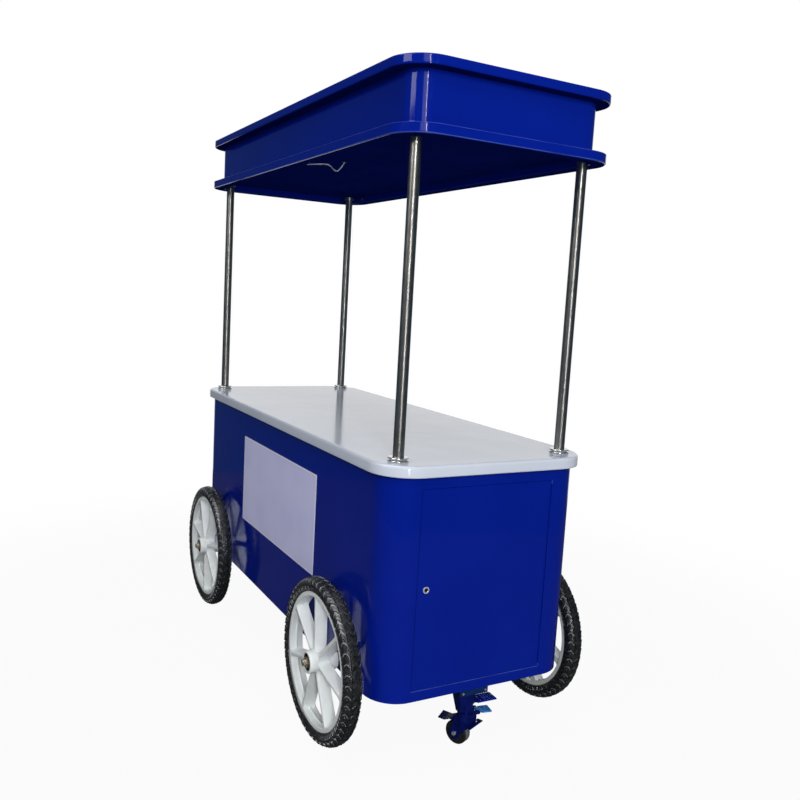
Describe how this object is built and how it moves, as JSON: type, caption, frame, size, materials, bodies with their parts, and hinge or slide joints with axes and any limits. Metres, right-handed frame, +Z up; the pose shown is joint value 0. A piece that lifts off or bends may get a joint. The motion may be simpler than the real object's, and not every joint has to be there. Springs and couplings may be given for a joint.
{
  "type": "ice cream push cart",
  "caption": "Push cart for vending, with a round-cornered sheet-metal cabinet, counter, canopy on posts, large spoked wheels, a locking end door and a foot-operated jack caster.",
  "frame": {"origin": "on the ground under the middle of the cart", "axes": "+X towards the door end, +Y away from the sign side, +Z up"},
  "size_m": [1.805, 0.916, 1.978],
  "materials": {
    "blue_paint": "glossy royal blue paint",
    "light_blue_paint": "glossy lighter blue paint",
    "frame_paint": "dark grey frame paint",
    "counter_board": "plain board",
    "counter_white": "moulded white, slightly glossy",
    "sign_sheet": "pale lilac sheet, bare",
    "stainless": "polished stainless tube",
    "zinc_steel": "zinc-plated steel",
    "wheel_white": "moulded white nylon",
    "tyre_rubber": "black rubber with block tread",
    "liner_white": "white liner sheet",
    "lock_chrome": "chrome-plated",
    "lead_white": "white cable sheath",
    "grommet_grey": "dark rubber",
    "caster_rubber": "grey tread",
    "caster_black": "black moulded hub"
  },
  "bodies": {
    "chassis": {"cabinet_shell": "blue_paint", "base_side_rails": "frame_paint", "base_cross_rails": "frame_paint", "cabinet_uprights": "frame_paint", "top_rails": "frame_paint", "floor_panel": "frame_paint", "door_jambs": "frame_paint", "counter_core": "counter_board", "countertop": "counter_white", "sign_panel": "sign_sheet", "front_right_post": "stainless", "front_left_post": "stainless", "rear_right_post": "stainless", "rear_left_post": "stainless", "post_flanges": "stainless", "post_sockets": "stainless", "canopy_ring": "blue_paint", "canopy_fascia": "blue_paint", "canopy_ceiling": "blue_paint", "canopy_frame": "frame_paint", "canopy_roof": "blue_paint", "lead_grommets": "grommet_grey", "lamp_lead": "lead_white", "front_axle": "zinc_steel", "rear_axle": "zinc_steel", "axle_sleeves": "frame_paint", "axle_spacers": "zinc_steel", "axle_washers": "zinc_steel", "axle_nuts": "zinc_steel", "hinge_frame_leaf": "blue_paint", "hinge_pin": "zinc_steel", "jack_saddle": "blue_paint", "jack_bolts": "zinc_steel", "jack_housing": "blue_paint"},
    "front_right_wheel_assembly": {"front_right_tyre": "tyre_rubber", "front_right_wheel": "wheel_white", "front_right_bearings": "zinc_steel"},
    "front_left_wheel_assembly": {"front_left_tyre": "tyre_rubber", "front_left_wheel": "wheel_white", "front_left_bearings": "zinc_steel"},
    "rear_right_wheel_assembly": {"rear_right_tyre": "tyre_rubber", "rear_right_wheel": "wheel_white", "rear_right_bearings": "zinc_steel"},
    "rear_left_wheel_assembly": {"rear_left_tyre": "tyre_rubber", "rear_left_wheel": "wheel_white", "rear_left_bearings": "zinc_steel"},
    "door": {"door_skin": "blue_paint", "door_liner": "liner_white", "hinge_door_leaf": "blue_paint", "lock_barrel": "lock_chrome", "lock_nut": "lock_chrome"},
    "lock": {"lock_cam": "lock_chrome"},
    "jack": {"jack_plunger": "blue_paint"},
    "lift_lever": {"lift_pedal": "blue_paint"},
    "lock_lever": {"lock_pedal": "light_blue_paint"},
    "caster": {"caster_fork": "blue_paint", "caster_axle": "zinc_steel"},
    "caster_wheel": {"caster_tread": "caster_rubber", "caster_hub": "caster_black"},
    "brake": {"brake_pedal": "blue_paint"}
  },
  "joints": [
    {"name": "front_right_wheel_spin", "type": "hinge", "parent": "chassis", "child": "front_right_wheel_assembly", "pos_m": [0.606, -0.399, 0.252], "axis": [0, 1, 0], "continuous": true},
    {"name": "front_left_wheel_spin", "type": "hinge", "parent": "chassis", "child": "front_left_wheel_assembly", "pos_m": [0.606, 0.399, 0.252], "axis": [0, 1, 0], "continuous": true},
    {"name": "rear_right_wheel_spin", "type": "hinge", "parent": "chassis", "child": "rear_right_wheel_assembly", "pos_m": [-0.606, -0.399, 0.252], "axis": [0, 1, 0], "continuous": true},
    {"name": "rear_left_wheel_spin", "type": "hinge", "parent": "chassis", "child": "rear_left_wheel_assembly", "pos_m": [-0.606, 0.399, 0.252], "axis": [0, 1, 0], "continuous": true},
    {"name": "door_swing", "type": "hinge", "parent": "chassis", "child": "door", "pos_m": [0.8818, 0.2172, 0.5395], "axis": [0, 0, 1], "range_deg": [0, 110]},
    {"name": "lock_turn", "type": "hinge", "parent": "door", "child": "lock", "pos_m": [0.879, -0.207, 0.543], "axis": [-1, 0, 0], "range_deg": [0, 90]},
    {"name": "jack_lift", "type": "slide", "parent": "chassis", "child": "jack", "axis": [0, 0, 1], "range_m": [0, 0.018]},
    {"name": "lift_pedal_turn", "type": "hinge", "parent": "chassis", "child": "lift_lever", "pos_m": [0.82319, 0.03398, 0.144], "axis": [0.9994, -0.0349, 0], "range_deg": [0, 20.1]},
    {"name": "lock_pedal_turn", "type": "hinge", "parent": "jack", "child": "lock_lever", "pos_m": [0.82868, 0.03436, 0.111], "axis": [0.9816, -0.1908, 0], "range_deg": [-10, 0], "stiffness_Nm_per_rad": 1, "springref_deg": 5.73},
    {"name": "caster_swivel", "type": "hinge", "parent": "jack", "child": "caster", "pos_m": [0.822, 0, 0.09], "axis": [0, 0, 1], "continuous": true},
    {"name": "caster_wheel_spin", "type": "hinge", "parent": "caster", "child": "caster_wheel", "pos_m": [0.79916, -0.01017, 0.0375], "axis": [0.4067, -0.9135, 0], "continuous": true},
    {"name": "brake_turn", "type": "hinge", "parent": "caster", "child": "brake", "pos_m": [0.84027, 0.00813, 0.081], "axis": [0.4067, -0.9135, 0], "range_deg": [0, 2.5]}
  ],
  "couplings": [
    {"joint": "lift_pedal_turn", "follows": "jack_lift", "rad_per_m": 19.4}
  ]
}
